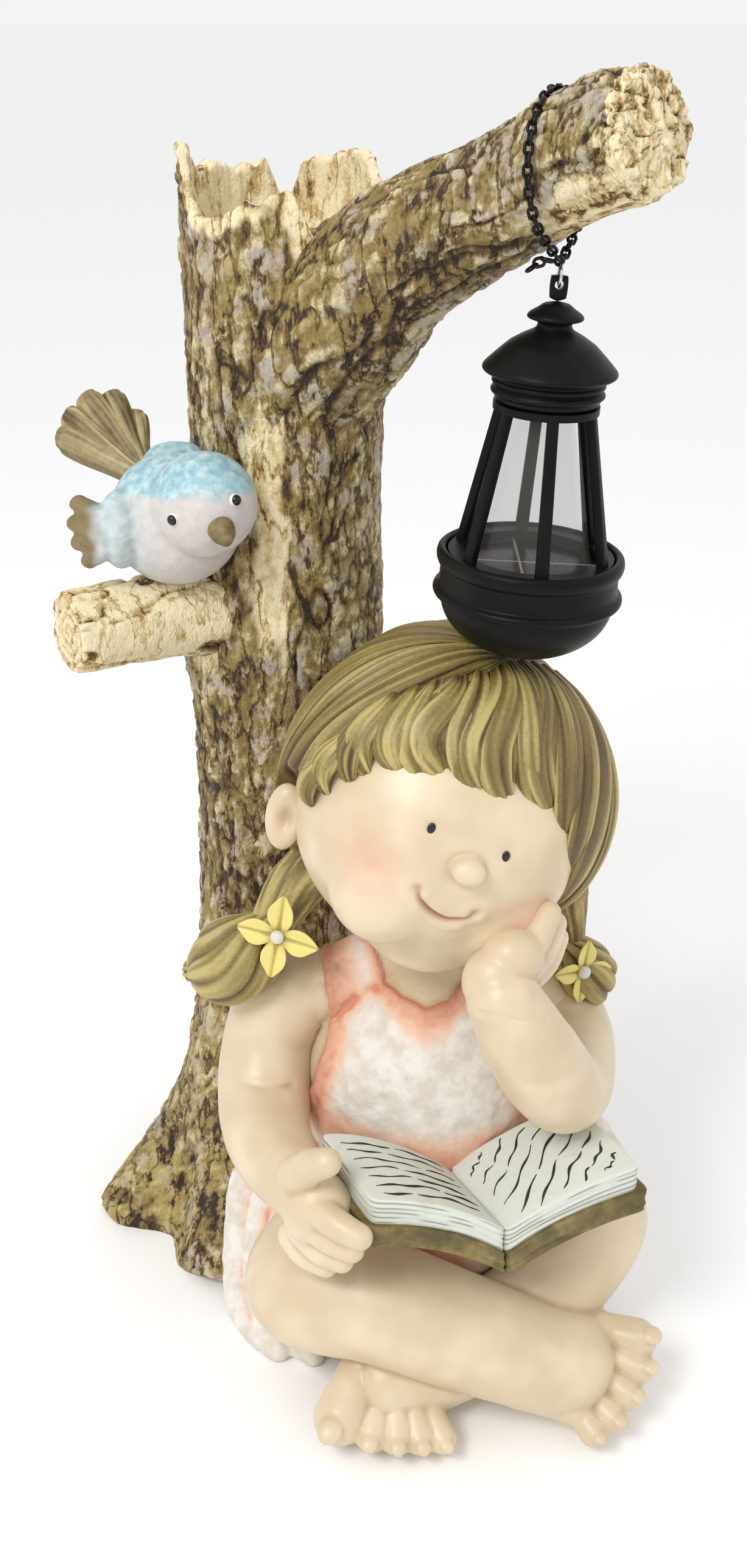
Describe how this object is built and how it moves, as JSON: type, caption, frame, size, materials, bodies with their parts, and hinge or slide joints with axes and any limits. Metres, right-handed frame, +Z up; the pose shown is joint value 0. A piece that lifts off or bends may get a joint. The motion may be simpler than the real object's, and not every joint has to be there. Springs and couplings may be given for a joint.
{
  "type": "garden statue",
  "caption": "Cast garden figure of a girl reading a book under a cut tree, with a bird on the stub and a solar lantern hung on a chain from the branch",
  "frame": {"origin": "On the flat underside of the casting, below the middle of the girl's seat", "axes": "+Z up, -Y the front that the girl faces, +X to the viewer's right, where the branch and the lantern are"},
  "size_m": [0.2525, 0.2541, 0.5003],
  "materials": {
    "painted_resin": "hand-painted matt resin: bark browns, warm skin, straw hair",
    "satin_black": "satin black",
    "solar_cell": "dark solar cell under a clear cover",
    "clear_pane": "clear",
    "steel_wire": "plain bright wire",
    "chain_black": "blackened"
  },
  "bodies": {
    "root": {"statue": "painted_resin", "lantern_base": "satin_black", "solar_panel": "solar_cell", "lantern_cage": "satin_black", "lantern_glass": "clear_pane", "lantern_roof": "satin_black", "hanging_ring": "steel_wire", "chain": "chain_black"}
  },
  "joints": []
}
